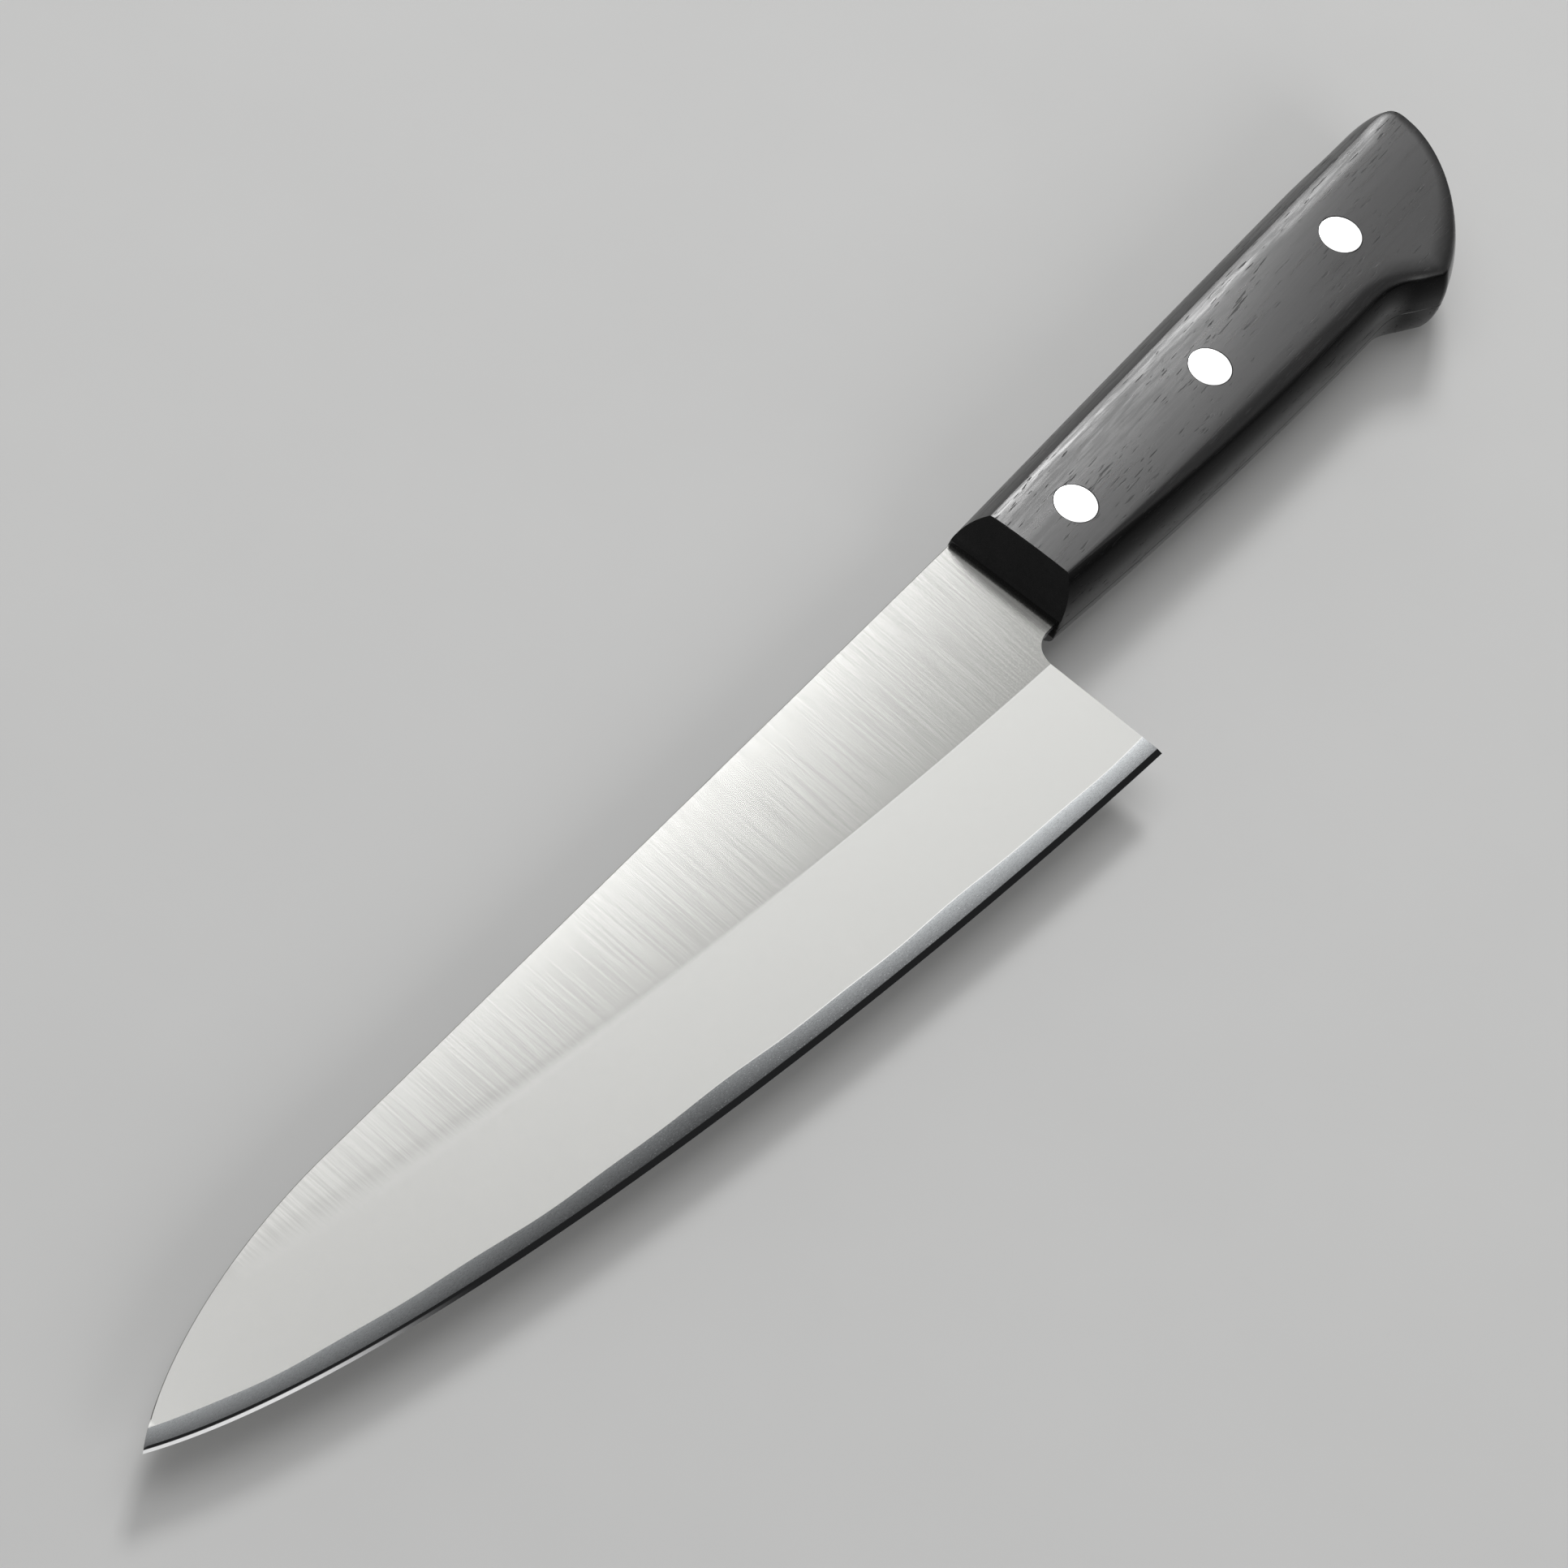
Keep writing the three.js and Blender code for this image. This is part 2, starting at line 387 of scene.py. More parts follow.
def buildCladding(name, side):
    rows = [claddingRow(t) for t in stationList if t >= layerEnd]
    last = rows[-1]
    flat = [p for p in last[2:] if p[1] >= blade["chinY"] - 1e-6 and p[2] > last[0][2]]
    heelFace = [p for p in last[2:-1] if p[1] <= blade["chinY"] + 0.01]
    inner = last[0][2]
    half = blade["half"]
    eased = blade["eased"]
    neck = neckOutline()
    loops = skin(rows, closed=True)
    loops.append([*heelFace, last[-1]])
    loops.append([*flat, *[(x, y, half) for x, y in neck[1:]], (0, -eased, half)])
    loops.append([last[0], last[-1], *[(x, y, inner) for x, y in neck[1:]], (0, 0, inner)])
    for (ax, ay), (bx, by) in zip(neck, neck[1:]):
        loops.append([(ax, ay, half), (bx, by, half), (bx, by, inner), (ax, ay, inner)])
    loops.append([last[1], last[2], (0, -eased, half), (0, 0, half - eased)])
    loops.append([last[0], last[1], (0, 0, half - eased), (0, 0, inner)])
    tangY = blade["tangTop"][0]
    corner = [(0, 0, half - eased), (0, -eased, half)]
    loops.append([(0, 0, inner), *corner, (0, tangY, half), (0, tangY, inner)])
    loops = [[(x, y, z * side) for x, y, z in loop] for loop in loops]
    return weld(name, loops)


def buildCore(name):
    rows = [coreRow(t) for t in stationList]
    last = rows[-1]
    inner = last[0][2]
    heelX = blade["heel"][0]
    neck = neckOutline()
    count = len(last)
    loops = skin(rows, closed=True)
    loops.append(last[1:count - 1])
    for side in (1, -1):
        chin = (heelX, blade["chinY"], inner * side)
        spine = (heelX, 0, inner * side)
        loops.append([spine, chin, *[(x, y, inner * side) for x, y in neck[1:]], (0, 0, inner * side)])
    for (ax, ay), (bx, by) in zip(neck, [*neck[1:], (0, 0)]):
        loops.append([(ax, ay, inner), (bx, by, inner), (bx, by, -inner), (ax, ay, -inner)])
    loops.append([(heelX, 0, inner), (0, 0, inner), (0, 0, -inner), (heelX, 0, -inner)])
    return weld(name, loops)


# what the steel's finish depends on: height above the edge, and height above the layer line
def markSteel(piece):
    mesh = piece.data
    above = mesh.attributes.new("aboveEdge", "FLOAT", "POINT")
    layer = mesh.attributes.new("aboveLayer", "FLOAT", "POINT")
    for index, vertex in enumerate(mesh.vertices):
        x, y, z = fromZero(vertex.co)
        edgeY = blade["heel"][1]
        if x < blade["heel"][0]:
            edgeY = edgeAt(solve(lambda t: edgeAt(t).x - x, 0.0, 1.0)).y
        above.data[index].value = y - edgeY
        layer.data[index].value = y - edgeY - stripAt(x)


pinLow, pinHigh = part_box("rivet_pin_front")

# two parts from opposite sides: a socket with a hollow barrel, and a pin that goes into it
rivet = {
    "names": ["front", "middle", "rear"],
    "headR": (pinHigh.x - pinLow.x) / 2 / mm,
    "headHigh": 2.0,
    "barrelR": 2.4,
    "boreR": 1.7,
    "pinR": 1.55,
    "pinEase": 0.3,              # broken corner at the end of the pin
    "headRoom": 0.1,             # room round the head, the barrel and past the ends
    "barrelRoom": 0.2,
    "endRoom": 0.4,
    "capHigh": 2.8,              # solid metal above the bore
    "rimEase": 0.09,
    "steps": 72,
}


# a profile of radius and height, turned round an upright line
def turned(name, centre, profile):
    rows = []
    for k in range(rivet["steps"] + 1):
        angle = 2 * pi * (k % rivet["steps"]) / rivet["steps"]
        rows.append([(centre.x + r * cos(angle), centre.y + r * sin(angle), z) for r, z in profile])
    return weld(name, skin(rows))


def rivetCentre(name):
    low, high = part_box(f"rivet_socket_{name}")
    return fromZero((low + high) / 2)


def socketProfile(half):
    seat = half - rivet["headHigh"]
    ease = rivet["rimEase"]
    return [(0, half - rivet["capHigh"]), (rivet["boreR"], half - rivet["capHigh"]),
            (rivet["boreR"], rivet["endRoom"] - seat), (rivet["barrelR"], rivet["endRoom"] - seat),
            (rivet["barrelR"], seat), (rivet["headR"], seat), (rivet["headR"], half - ease),
            (rivet["headR"] - ease * 0.3, half - ease * 0.3), (rivet["headR"] - ease, half),
            (rivet["headR"] - ease * 2, half), (0, half)]


def pinProfile(half):
    seat = half - rivet["headHigh"]
    ease = rivet["rimEase"]
    end = half - rivet["capHigh"] - rivet["endRoom"]
    return [(0, -half), (rivet["headR"] - ease * 2, -half), (rivet["headR"] - ease, -half),
            (rivet["headR"] - ease * 0.3, ease * 0.3 - half), (rivet["headR"], ease - half),
            (rivet["headR"], -seat), (rivet["pinR"], -seat), (rivet["pinR"], end - rivet["pinEase"]),
            (rivet["pinR"] - rivet["pinEase"], end), (0, end)]


# what a rivet takes out of the steel and the wood
def rivetCutter(name, half):
    seat = half - rivet["headHigh"]
    narrow = rivet["barrelR"] + rivet["barrelRoom"]
    wide = rivet["headR"] + rivet["headRoom"]
    profile = [(0, -half - 1), (wide, -half - 1), (wide, -seat), (narrow, -seat),
               (narrow, seat), (wide, seat), (wide, half + 1), (0, half + 1)]
    return turned(f"cutter_{name}", rivetCentre(name), profile)


handle = {
    "half": fromZero(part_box("handle_scale_left")[1]).z,  # half thickness
    "bow": 3.6,                  # how far the sides bow out past the flat faces
    "topBow": 3.2,               # where the spine side meets the butt
    "buttBow": 1.8,              # the end stands nearly upright
    "seamBand": 0.5,             # the sides are upright this far from the seam
    "seamEase": 0.1,             # broken corner where the two scales meet
    "landHigh": 2.05,            # upright land at the front
    "frontSlope": 0.515,         # how fast the front leans back above the land
    "spineLine": [(-12, -3.7), (50, -2.2), (112, -1.25)],
    "buttTop": [(112, -1.25), (118.2, -0.8), (121.0, -0.6), (120.3, -5.2)],
    "buttRear": [(120.3, -5.2), (119.8, -11.4), (113.2, -22.2), (100.4, -26.5)],
    "flare": [(100.4, -26.5), (96.1, -24.8), (92.5, -20.5), (84, -20.5)],
    "belly": [(84, -20.5), (60, -20.75), (32, -20.3), (0, -18.15)],
    "bellyAhead": (-12, -17.35),
    "hookRound": 0.7,            # the hook is where the butt meets the flare
    "buttRearTo": 0.92,          # these two curves stop short of the hook
    "flareFrom": 0.24,
    "crown": 0.27,               # how much lower the flat face is towards its sides
    "crownWide": 8.5,
    "crownMiddle": (-12.8, -5.0),  # front, butt
    "rearFall": 0.1,             # how much lower it is at the butt
    "rearFallFrom": 84,
    "end": 120.5,                # the rearmost point of the flat face
    "frontEase": 0.22,
    "across": 12,                # rows of faces over the flat face
    "tangRoom": 0.3,
}

# roll, drop, ease and bow of the rim: crisp at the spine, butt and front, soft along the belly
# roll is where the face starts to turn down and drop how low it is at its rim
# ease is how far the rim is rounded and bow how far the side bows out
rims = {
    "spineFront": (1.5, 0.16, 0.10, handle["bow"]),
    "spineRear": (2.9, 0.40, 0.12, handle["topBow"]),
    "buttCorner": (1.3, 0.2, 0.12, 2.6),
    "butt": (1.8, 0.26, 0.14, handle["buttBow"]),
    "hook": (3.4, 0.75, 1.0, handle["buttBow"]),
    "belly": (3.4, 0.30, 1.80, handle["bow"]),
    "bellyFront": (0.4, 0.04, 0.14, handle["bow"]),
}


def between(first, second, part):
    return [blend(a, b, part) for a, b in zip(rims[first], rims[second])]


# the rim's four values at a place along one part of the outline
def cornerShape(part, where):
    if part == "spine":
        rim = between("spineFront", "spineRear", ramp(where, -5, 112))
        return [*rim[:3], blend(handle["bow"], handle["topBow"], ramp(where, 96, 112))]
    if part == "buttTop" and where < 0.6:
        return between("spineRear", "buttCorner", ramp(where, -0.1, 0.55))
    if part == "buttTop":
        return between("buttCorner", "butt", ramp(where, 0.7, 1.0))
    if part == "buttRear":
        return between("butt", "hook", ramp(where, 0.45, 1.0))
    if part == "hook":
        return rims["hook"]
    if part == "flare":
        return between("hook", "belly", ramp(where, 0.4, 1.0))
    return between("bellyFront", "belly", ramp(where, 2, 60))


# how far a side that bows out stands past the flat face at a height, and how fast that changes
def sideOut(z, bow):
    rise = handle["half"] - handle["seamBand"]
    arcR = (bow ** 2 + rise ** 2) / (2 * bow)
    up = max(0.0, z - handle["seamBand"])
    reach = sqrt(arcR ** 2 - up ** 2)
    return bow - (arcR - reach), -up / reach


# the flat faces are slightly crowned, lean towards the belly at the butt and fall a little there
def crownDrop(x, y):
    middle = blend(*handle["crownMiddle"], ramp(x, 40, 115))
    across = ((y - middle) / handle["crownWide"]) ** 2
    along = max(0.0, (x - handle["rearFallFrom"]) / (handle["end"] - handle["rearFallFrom"])) ** 2
    levelled = across / (1 + across / 8)  # the slope eases off further out
    return handle["crown"] * levelled + handle["rearFall"] * along


def lowered(x, y, z):
    part = max(0.0, (z - handle["landHigh"]) / (handle["half"] - handle["landHigh"]))
    return (x, y, z - crownDrop(x, y) * part * part)


def frontX(z):
    return max(0.0, (z - handle["landHigh"]) * handle["frontSlope"])


# from seam to flat face at one spot of the outline: how far out and how high
def sideProfile(roll, drop, ease, bow):
    half = handle["half"]
    softLow = half - drop - ease
    heights = [handle["seamEase"], handle["seamBand"], handle["landHigh"]]
    heights += [blend(handle["landHigh"], softLow, k / 7) for k in range(1, 8)]
    profile = [(bow - handle["seamEase"], 0.0)]
    profile += [(sideOut(z, bow)[0], z) for z in heights]
    out, slope = sideOut(softLow, bow)
    rimOut = out + slope * ease
    wide = rimOut + roll

    def faceHigh(inward):
        return half - drop * (1 - inward / wide) ** 2

    turn = [(out, softLow), (rimOut, half - drop), (rimOut - ease, faceHigh(ease))]
    profile += [tuple(sweep(turn, k / 5)[0]) for k in range(1, 6)]
    for k in range(1, 6):
        inward = blend(ease, wide, k / 5)
        profile.append((rimOut - inward, faceHigh(inward)))
    return profile


def outward(way):
    return Vector((-way.y, way.x))


def bellySpot(u):
    if u <= 1:
        return sweep(handle["belly"], u)
    return sweep([handle["belly"][-1], handle["bellyAhead"]], u - 1)


# one ring's points, from the front along the spine, round the butt and back along the belly
# level says which step of the profile it follows
def handleRing(level):
    points = []
    startShape = sideProfile(*cornerShape("spine", 0))[level]
    endShape = sideProfile(*cornerShape("belly", 0))[level]

    def shifted(spot, way, out):
        return spot + outward(way) * out

    def startGap(t):
        spot, way = sweep(handle["spineLine"], t)
        return shifted(spot, way, startShape[0]).x - frontX(startShape[1])

    def endGap(u):
        spot, way = bellySpot(u)
        return shifted(spot, way, endShape[0]).x - frontX(endShape[1])

    def put(spot, way, shape):
        out, z = sideProfile(*shape)[level]
        moved = shifted(spot, way, out)
        points.append((moved.x, moved.y, z))

    start = solve(startGap, 0.0, 0.5)
    beside = solve(lambda t: sweep(handle["spineLine"], t)[0].x - handle["flare"][-1][0], 0.0, 1.0)
    steps = [blend(start, beside, k / 60) for k in range(60)]
    steps += [blend(beside, 1.0, k / 24) for k in range(25)]
    for t in steps:
        spot, way = sweep(handle["spineLine"], t)
        put(spot, way, cornerShape("spine", max(0.0, spot.x)))
    for k in range(1, 17):
        put(*sweep(handle["buttTop"], k / 16), cornerShape("buttTop", k / 16))
    for k in range(1, 31):
        put(*sweep(handle["buttRear"], handle["buttRearTo"] * k / 30), cornerShape("buttRear", k / 30))
    # the hook: a mitred corner, rounded off
    wayIn = sweep(handle["buttRear"], 1.0)[1]
    wayOut = sweep(handle["flare"], 0.0)[1]
    first, second = outward(wayIn), outward(wayOut)
    out, z = sideProfile(*cornerShape("hook", 0))[level]
    corner = Vector(handle["flare"][0]) + (first + second) / (1 + first.dot(second)) * out
    bend = [corner - wayIn * handle["hookRound"], corner, corner + wayOut * handle["hookRound"]]
    for k in range(9):
        spot = sweep(bend, k / 8)[0]
        points.append((spot.x, spot.y, z))
    for k in range(1, 25):
        t = blend(handle["flareFrom"], 1.0, k / 24)
        put(*sweep(handle["flare"], t), cornerShape("flare", t))
    end = solve(endGap, 0.4, 2.0)
    for k in range(1, 61):
        u = end * k / 60
        spot, way = bellySpot(u)
        put(spot, way, cornerShape("belly", max(0.0, spot.x)))
    # both ends lie exactly on the front
    for index, shape in ((0, startShape), (-1, endShape)):
        points[index] = (frontX(shape[1]), points[index][1], shape[1])
    return points


# points from the spine side across to the belly side
def acrossFace(first, second):
    parts = [k / handle["across"] for k in range(handle["across"] + 1)]
    return [tuple(blend(a, b, part) for a, b in zip(first, second)) for part in parts]


# the crowned face, laid across from the spine side to the belly side
def faceLoops(rim):
    half = len(rim) // 2
    columns = [acrossFace(rim[k], rim[-1 - k]) for k in range(half - 1)]
    return [*skin(columns), [*columns[-1], rim[half], rim[half - 1]]]


def buildScale(name, side, cutters):
    levels = len(sideProfile(*rims["belly"]))
    rings = [handleRing(level) for level in range(levels)]
    loops = []
    for low, high in zip(rings, rings[1:]):
        for k in range(len(low) - 1):
            loops.append([low[k], low[k + 1], high[k + 1], high[k]])
        front = acrossFace(high[0], high[-1]) if high is rings[-1] else [high[0], high[-1]]
        loops.append([low[-1], low[0], *front])
    loops.append(list(reversed(rings[0])))
    loops += faceLoops(rings[-1])
    loops = [[lowered(*p) for p in loop] for loop in loops]
    loops = [[(x, y, z * side) for x, y, z in loop] for loop in loops]
    piece = weld(name, loops)
    easeFront(piece)
    cutAway(piece, cutters)
    return piece


# the corners round the front of a scale are broken a little
def easeFront(piece):
    shape = bmesh.new()
    shape.from_mesh(piece.data)
    weight = shape.edges.layers.float.new("bevel_weight_edge")
    for edge in shape.edges:
        ends = [fromZero(v.co) for v in edge.verts]
        if any(abs(p.x - frontX(abs(p.z))) > 1e-3 for p in ends):
            continue
        if len(edge.link_faces) == 2 and edge.calc_face_angle(0) > radians(20):
            if abs(ends[0].z) > 0.01 or abs(ends[1].z) > 0.01:
                edge[weight] = 1.0
    shape.to_mesh(piece.data)
    shape.free()
    ease = piece.modifiers.new("ease", "BEVEL")
    ease.limit_method = "WEIGHT"
    ease.width = handle["frontEase"] * mm
    ease.segments = 3
    settle(piece)


def tangCutter():
    room = handle["tangRoom"]
    long = blade["tangLong"] + room
    corner = blade["tangCorner"]
    topFront, topRear = [y + room for y in blade["tangTop"]]
    lowFront, lowRear = [y - room for y in blade["tangLow"]]
    outline = [(-1, topFront), (-1, lowFront), (0, lowFront)]
    outline += tangEnd(long, lowRear, topRear, corner)
    outline.append((0, topFront))
    half = blade["half"]
    loops = [[(x, y, half) for x, y in outline], [(x, y, -half) for x, y in reversed(outline)]]
    for (ax, ay), (bx, by) in zip(outline, outline[1:] + outline[:1]):
        loops.append([(ax, ay, -half), (bx, by, -half), (bx, by, half), (ax, ay, half)])
    return weld("cutter_tang", loops)


claddingFinish = {
    "flat": (0.455, 0.455, 0.44, 1),  # at the spine, the bright end of a painted reflection
    "flatLow": (0.305, 0.305, 0.293, 1),  # at the grind line, the dark end of that painted reflection
    "streak": (0.12, 0.12, 0.115, 1),
    "streakStrength": 0.2,
    "bevel": (0.61, 0.61, 0.592, 1),
    "bevelGrit": (0.92, 0.92, 0.9, 1),
    "layerLine": (0.98, 0.98, 0.97, 1),
    "paintedTipShade": 0.66,            # how much darker the painted shade makes the bevel at the tip
    "flatRough": 0.19,
    "bevelRough": 0.20,
    "brushTurn": 4.0,            # degrees that the brushing leans
}


def claddingSteel():
    material, tree, shader = newMaterial("satinCladding")
    look = claddingFinish
    above = measure(tree, "aboveEdge")
    layer = measure(tree, "aboveLayer")
    along, up = alongAndUp(tree)
    # 1 on the flat, 0 on the bevel; soft towards the tip
    softness = spread(tree, along, -185, -60, 2.6, 0.12, "LINEAR")
    lift = maths(tree, "SUBTRACT", above, blade["bevelWide"])
    flat = spread(tree, maths(tree, "DIVIDE", lift, softness), -1.0, 1.0)
    # brushing across the flat, fine over coarse
    fine = noise(tree, ownPlace(tree, (2.6, 0.06, 1), look["brushTurn"]), 1.0, 1.0, 0.5)
    coarse = noise(tree, ownPlace(tree, (0.55, 0.012, 1), look["brushTurn"]), 1.0, 1.0, 0.5)
    brush = mixedValue(tree, 0.06, fine, coarse)
    grit = noise(tree, ownPlace(tree, (7, 7, 7)), 1.0, 2.0, 0.6)
    # painted reflection: the flat is painted brightest at the spine, darker towards the grind line
    rise = spread(tree, up, -24.0, 0.0, 0.0, 1.0, "LINEAR")
    flatColour = mixed(tree, rise, look["flatLow"], look["flat"])
    streaks = spread(tree, brush, 0.36, 0.64, 0.0, look["streakStrength"], "LINEAR")
    flatColour = mixed(tree, streaks, flatColour, look["streak"])
    # the bevel is finely ground, and painted shade makes it darker towards the tip
    bevelColour = mixed(tree, maths(tree, "MULTIPLY", grit, 0.12), look["bevel"], look["bevelGrit"])
    paintedShade = spread(tree, along, -205, -10, look["paintedTipShade"], 1.0, "LINEAR")
    bevelColour = mixed(tree, paintedShade, (0, 0, 0, 1), bevelColour)
    # a light line where the layers meet, near the heel only
    line = spread(tree, layer, 0.0, 0.22, 1.0, 0.0)
    line = maths(tree, "MULTIPLY", line, spread(tree, along, -120, -70, 0.0, 0.8))
    bevelColour = mixed(tree, line, bevelColour, look["layerLine"])
    feed(tree, shader.inputs["Base Color"], mixed(tree, flat, bevelColour, flatColour))
    flatRough = around(tree, brush, look["flatRough"], 0.004, 0.004)
    bevelRough = around(tree, grit, look["bevelRough"], 0.03, 0.03)
    feed(tree, shader.inputs["Roughness"], mixedValue(tree, flat, bevelRough, flatRough))
    gritHigh = maths(tree, "MULTIPLY", grit, 0.4)
    height = mixedValue(tree, flat, gritHigh, maths(tree, "MULTIPLY", brush, 0.05))
    feed(tree, shader.inputs["Normal"], raised(tree, height, 0.03, 0.02))
    shader.inputs["Metallic"].default_value = 1.0
    return material


coreFinish = {
    # nearLayer down to nearEdge is a painted reflection, darker towards the edge
    "nearLayer": (0.52, 0.54, 0.55, 1),
    "nearEdge": (0.20, 0.205, 0.21, 1),
    "speck": (0.75, 0.77, 0.78, 1),
    # the honed band is painted near black, a painted dark reflection
    "honed": (0.06, 0.061, 0.063, 1),
    "honedTipHighlight": (0.95, 0.95, 0.95, 1),  # painted highlight: the honed band is painted white towards the tip
    "rough": 0.28,
    "honedRough": 0.12,
}


def coreSteel():
    material, tree, shader = newMaterial("hardCore")
    look = coreFinish
    above = measure(tree, "aboveEdge")
    along = alongAndUp(tree)[0]
    # painted reflection: the bare core is painted darker towards the edge
    rise = spread(tree, above, blade["honedWide"], blade["stripWide"], 0.0, 1.0, "LINEAR")
    colour = mixed(tree, rise, look["nearEdge"], look["nearLayer"])
    # painted shade: darkest past the middle of the blade, painted lighter again at the tip
    paintedShade = spread(tree, along, -112, -8, 0.2, 0.95, "LINEAR")
    paintedShade = maths(tree, "ADD", paintedShade, spread(tree, along, -215, -150, 0.14, 0.0, "LINEAR"))
    colour = mixed(tree, paintedShade, (0, 0, 0, 1), colour)
    # fine bright carbides
    specks = noise(tree, ownPlace(tree, (3.2, 6.0, 3.0), 8.0), 1.0, 2.0, 0.7)
    specks = spread(tree, specks, 0.60, 0.72)
    specks = maths(tree, "MULTIPLY", specks, spread(tree, along, -160, -60, 0.06, 0.35))
    colour = mixed(tree, specks, colour, look["speck"])
    honed = spread(tree, above, blade["honedWide"] + 0.04, blade["honedWide"] - 0.04)
    # painted highlight: a white line is painted along the honed band towards the tip
    tipward = spread(tree, along, -158, -196)
    paintedHighlightLine = maths(tree, "MULTIPLY", spread(tree, above, 0.62, 0.46), tipward)
    honedColour = mixed(tree, paintedHighlightLine, look["honed"], look["honedTipHighlight"])
    feed(tree, shader.inputs["Base Color"], mixed(tree, honed, colour, honedColour))
    scuff = noise(tree, ownPlace(tree, (2.0, 9.0, 1), 6.0), 1.0, 3.0, 0.6)
    rough = around(tree, scuff, look["rough"], 0.05, 0.08)
    feed(tree, shader.inputs["Roughness"], mixedValue(tree, honed, rough, look["honedRough"]))
    feed(tree, shader.inputs["Normal"], raised(tree, scuff, 0.2, 0.01))
    # the painted white highlight line of the honed edge is made less metallic, so it stays bright from
    # every side
    paintedHighlightDiffuse = maths(tree, "MULTIPLY", paintedHighlightLine, 0.9)
    feed(tree, shader.inputs["Metallic"], maths(tree, "SUBTRACT", 1.0, paintedHighlightDiffuse))
    return material


woodFinish = {
    "dark": (0.0015, 0.0016, 0.0018, 1),
    "light": (0.014, 0.0136, 0.0136, 1),
    "pore": (0.001, 0.001, 0.001, 1),
    "rough": 0.34,
    "roughTurn": 0.07,           # how much the grain changes the roughness, either way
    "sideRough": 0.2,            # the belly side and the front are smoother, and painted darker as shade
    "side": (0.004, 0.004, 0.0042, 1),
    "gloss": 0.85,
}


def scaleWood():
    material, tree, shader = newMaterial("blackWood")
    look = woodFinish
    grain = noise(tree, ownPlace(tree, (0.05, 1.3, 1.3), -1.5), 1.0, 5.0, 0.65)
    fibres = noise(tree, ownPlace(tree, (0.22, 3.4, 3.4), -1.5), 1.0, 3.0, 0.6)
    clouds = noise(tree, ownPlace(tree, (0.05, 0.2, 0.2), -1.5), 1.0, 2.0, 0.5)
    pores = noise(tree, ownPlace(tree, (0.28, 3.2, 3.2), -2.5), 1.0, 1.0, 0.4)
    # pores crowd together in places
    crowded = maths(tree, "ADD", pores, maths(tree, "MULTIPLY", clouds, 0.35))
    pore = spread(tree, crowded, 0.85, 0.90)
    streaks = mixedValue(tree, 0.375, grain, fibres)
    tone = spread(tree, mixedValue(tree, 0.2, streaks, clouds), 0.40, 0.60)
    colour = mixed(tree, tone, look["dark"], look["light"])
    colour = mixed(tree, pore, colour, look["pore"])
    turn = look["roughTurn"]
    rough = spread(tree, tone, 0.0, 1.0, look["rough"] + turn, look["rough"] - turn, "LINEAR")
    # painted shade: the belly side and the front are painted darker, and made nearly metallic, by which
    # way the surface faces
    geometry = tree.nodes.new("ShaderNodeNewGeometry")
    facing = tree.nodes.new("ShaderNodeSeparateXYZ")
    tree.links.new(geometry.outputs["Normal"], facing.inputs[0])
    belly = spread(tree, facing.outputs["Y"], -0.60, -0.80)
    front = spread(tree, facing.outputs["X"], -0.6, -0.85, 0.0, 0.6)
    paintedShadeSides = maths(tree, "MAXIMUM", belly, front)
    feed(tree, shader.inputs["Base Color"], mixed(tree, paintedShadeSides, colour, look["side"]))
    feed(tree, shader.inputs["Metallic"], maths(tree, "MULTIPLY", paintedShadeSides, 0.95))
    rough = mixedValue(tree, paintedShadeSides, rough, look["sideRough"])
    feed(tree, shader.inputs["Roughness"], maths(tree, "ADD", rough, maths(tree, "MULTIPLY", pore, 0.3)))
    shader.inputs["Specular IOR Level"].default_value = look["gloss"]
    height = maths(tree, "SUBTRACT", maths(tree, "MULTIPLY", tone, 0.12), pore)
    feed(tree, shader.inputs["Normal"], raised(tree, height, 0.3, 0.03))
    return material


rivetFinish = {"colour": (0.95, 0.95, 0.945, 1), "worn": (0.88, 0.88, 0.875, 1), "rough": 0.30}


def rivetMetal():
    material, tree, shader = newMaterial("polishedRivet")
    look = rivetFinish
    rub = noise(tree, ownPlace(tree, (0.35, 6.0, 1.0), 12.0), 1.0, 3.0, 0.6)
    spots = noise(tree, ownPlace(tree, (1.2, 1.2, 1.2)), 1.0, 2.0, 0.5)
    worn = maths(tree, "MULTIPLY", spread(tree, rub, 0.35, 0.7), spots)
    feed(tree, shader.inputs["Base Color"], mixed(tree, worn, look["colour"], look["worn"]))
    feed(tree, shader.inputs["Roughness"], around(tree, rub, look["rough"], 0.02, 0.03))
    feed(tree, shader.inputs["Normal"], raised(tree, rub, 0.05, 0.01))
    shader.inputs["Metallic"].default_value = 1.0
    return material


print("building the blade")
steel = claddingSteel()
sockets = [rivetCutter(name, handle["half"]) for name in rivet["names"]]
core = buildCore("bladeCore")
layers = {"Left": buildCladding("bladeCladdingLeft", 1)}
layers["Right"] = buildCladding("bladeCladdingRight", -1)
for piece in [core, *layers.values()]:
    cutAway(piece, sockets)
    shadeBy(piece, 9)
    markSteel(piece)
finishPiece(core, coreSteel(), "core_steel", "blade_core")
for side, piece in layers.items():
    finishPiece(piece, steel, "cladding_steel", f"blade_cladding_{side.lower()}")

print("building the handle")
wood = scaleWood()
pocket = tangCutter()
for sideName, side in (("Left", 1), ("Right", -1)):
    scale = buildScale(f"handleScale{sideName}", side, [pocket, *sockets])
    shadeBy(scale, 24)
    finishPiece(scale, wood, "scale_wood", f"handle_scale_{sideName.lower()}")
for cutter in [pocket, *sockets]:
    bpy.data.objects.remove(cutter)

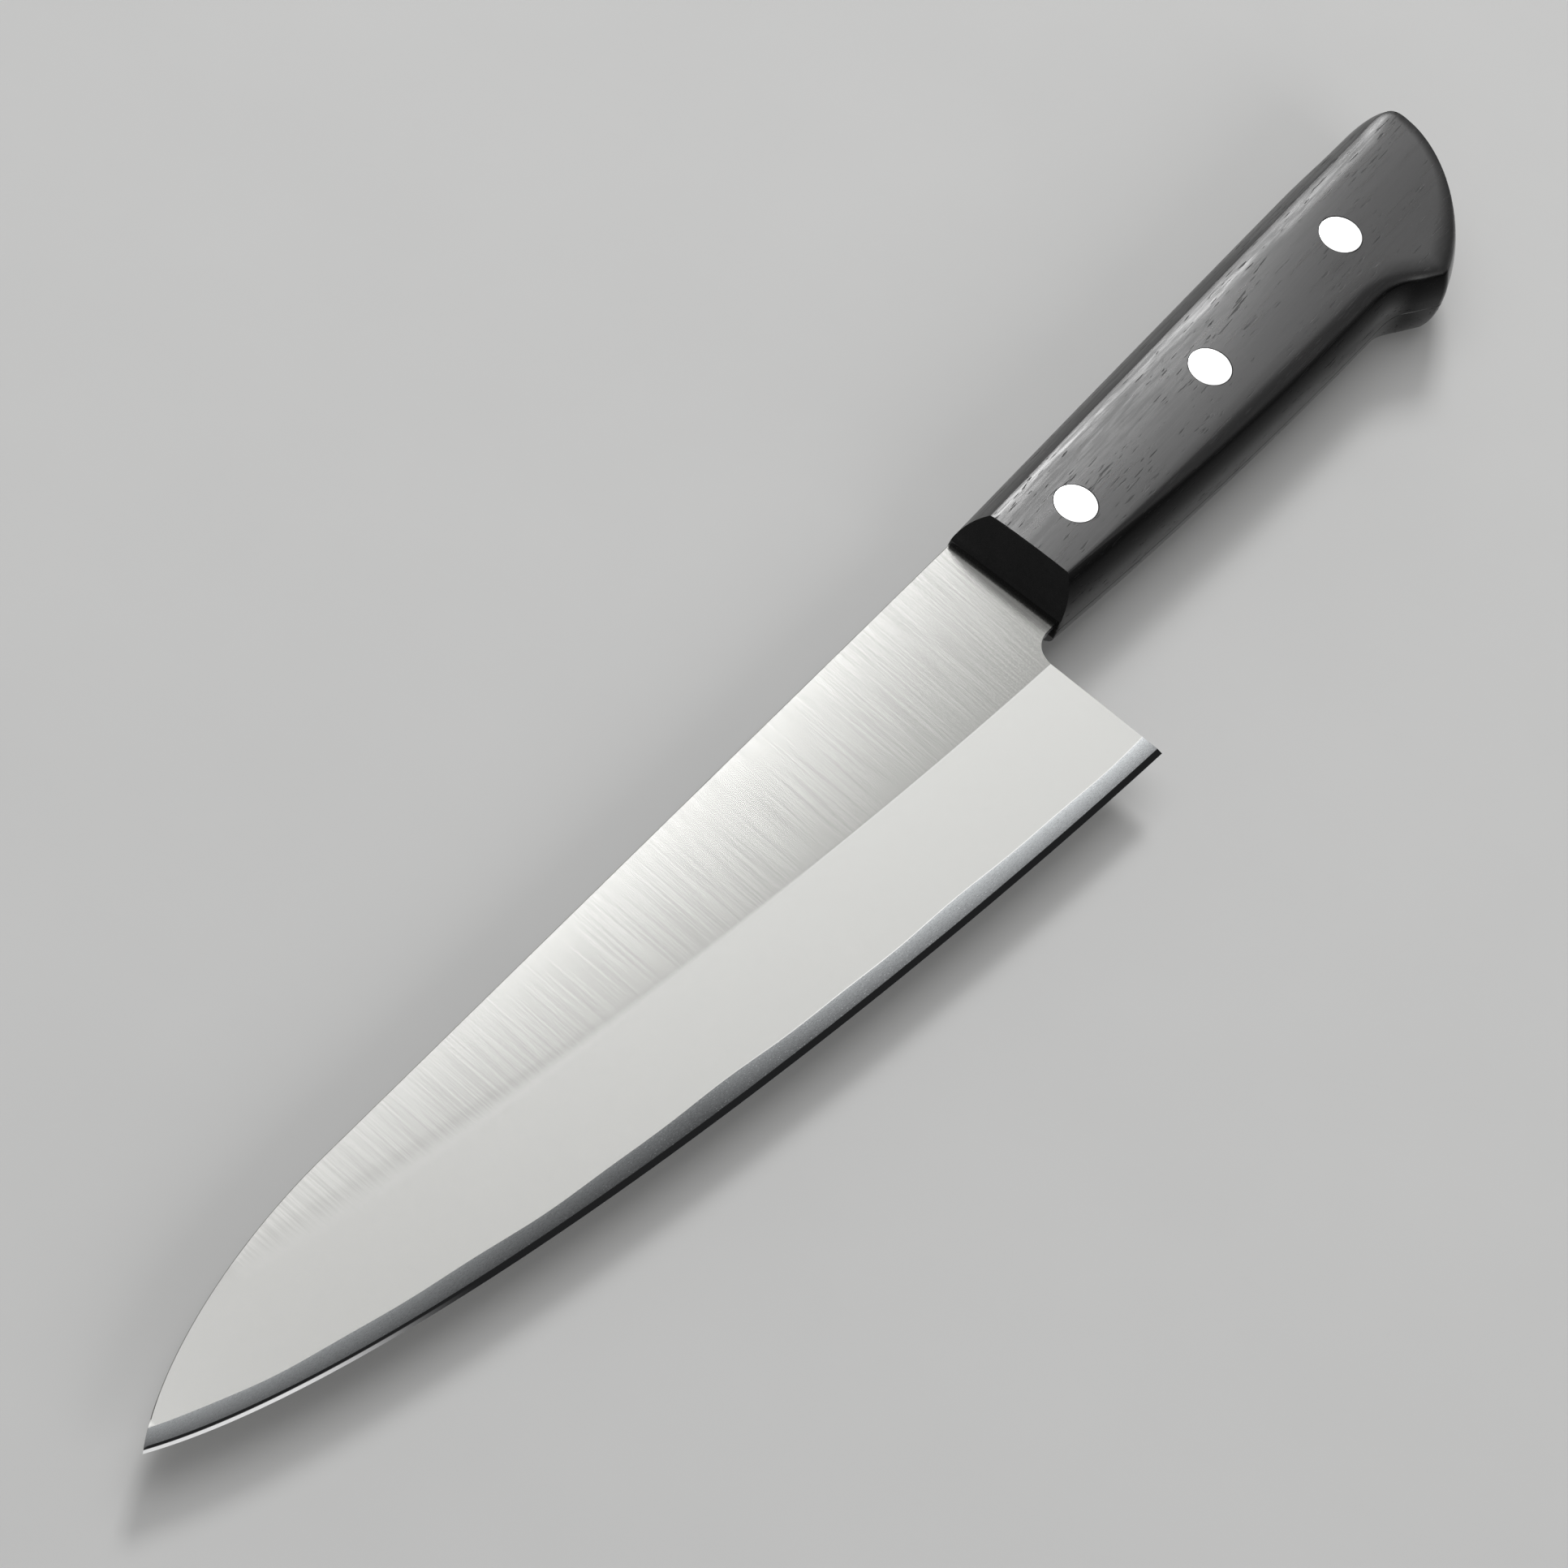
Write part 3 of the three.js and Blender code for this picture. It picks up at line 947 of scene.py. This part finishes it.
print("setting the rivets")
polished = rivetMetal()
for name in rivet["names"]:
    centre = rivetCentre(name)
    flush = handle["half"] - crownDrop(centre.x, centre.y)
    socket = turned(f"rivetSocket{name.title()}", centre, socketProfile(flush))
    pin = turned(f"rivetPin{name.title()}", centre, pinProfile(flush))
    for piece, node in ((socket, "socket"), (pin, "pin")):
        shadeBy(piece, 35)
        finishPiece(piece, polished, "rivet_metal", f"rivet_{node}_{name}")

studio = {
    "floorTone": (0.56, 0.56, 0.555, 1),
    "floorSize": 6.0,            # metres
    "worldTone": (0.21, 0.21, 0.21, 1),
    # azimuth and elevation seen from the knife, distance, width and height, brightness
    "softboxes": {
        "sheenPanel": (19, 53, 1.4, (1.0, 0.8), 0.72),  # the sheen of the steel
        "keyBox": (35, 45, 1.6, (0.4, 0.4), 19.0),
        "topPanel": (90, 78, 1.5, (1.2, 1.2), 1.4),
        "fillPanel": (-100, 33, 1.6, (0.9, 0.9), 1.9),
        "lowPanel": (-135, 22, 1.8, (1.3, 0.8), 1.1),
        "backPanel": (48, 14, 2.0, (1.3, 0.6), 0.7),
    },
}


def buildFloor():
    size = studio["floorSize"] / mm / 2
    low = fromZero(Vector((0, 0, cadBox[0].z))).z
    corners = [(-size, -size), (size, -size), (size, size), (-size, size)]
    floor = weld("floor", [[(x, y, low) for x, y in corners]])
    material, tree, shader = newMaterial("paleFloor")
    tone = noise(tree, ownPlace(tree, (0.02, 0.02, 0.02)), 1.0, 4.0, 0.6)
    light = [c * 1.06 for c in studio["floorTone"][:3]] + [1]
    feed(tree, shader.inputs["Base Color"], mixed(tree, tone, studio["floorTone"], light))
    shader.inputs["Roughness"].default_value = 0.75
    floor.data.materials.append(material)


def direction(azimuth, elevation):
    turn, lift = radians(azimuth), radians(elevation)
    return Vector((cos(lift) * cos(turn), cos(lift) * sin(turn), sin(lift)))


def buildLights():
    world = bpy.data.worlds.new("studioWorld")
    world.use_nodes = True
    world.node_tree.nodes["Background"].inputs["Color"].default_value = studio["worldTone"]
    bpy.context.scene.world = world
    for name, (azimuth, elevation, distance, size, bright) in studio["softboxes"].items():
        light = bpy.data.lights.new(name, "AREA")
        light.shape = "RECTANGLE"
        light.size, light.size_y = size
        light.energy = bright * pi * light.size * light.size_y
        lamp = bpy.data.objects.new(name, light)
        way = direction(azimuth, elevation)
        lamp.location = way * distance
        lamp.rotation_euler = way.to_track_quat("Z", "Y").to_euler()
        bpy.context.scene.collection.objects.link(lamp)


# degrees, metres, and the lens in millimetres
viewpoint = {
    "azimuth": -161.9,
    "elevation": 52.5,
    "roll": 23.0,
    "distance": 1.4166,
    "target": (-0.00822, 0.01386, 0.009),
    "lens": 214.3,
}


def buildCamera():
    data = bpy.data.cameras.new("camera")
    data.lens = viewpoint["lens"]
    data.sensor_width = 36
    camera = bpy.data.objects.new("camera", data)
    back = direction(viewpoint["azimuth"], viewpoint["elevation"])
    level = Vector((0, 0, 1)).cross(back).normalized()
    lift = back.cross(level)
    roll = radians(viewpoint["roll"])
    right = level * cos(roll) + lift * sin(roll)
    up = lift * cos(roll) - level * sin(roll)
    turn = Matrix((right, up, back)).transposed()
    stand = Vector(viewpoint["target"]) + back * viewpoint["distance"]
    camera.matrix_world = Matrix.Translation(stand) @ turn.to_4x4()
    bpy.context.scene.collection.objects.link(camera)
    bpy.context.scene.camera = camera


print("setting up the studio")
buildFloor()
buildLights()
buildCamera()
bpy.context.scene.view_settings.view_transform = "Standard"

bpy.context.view_layer.update()
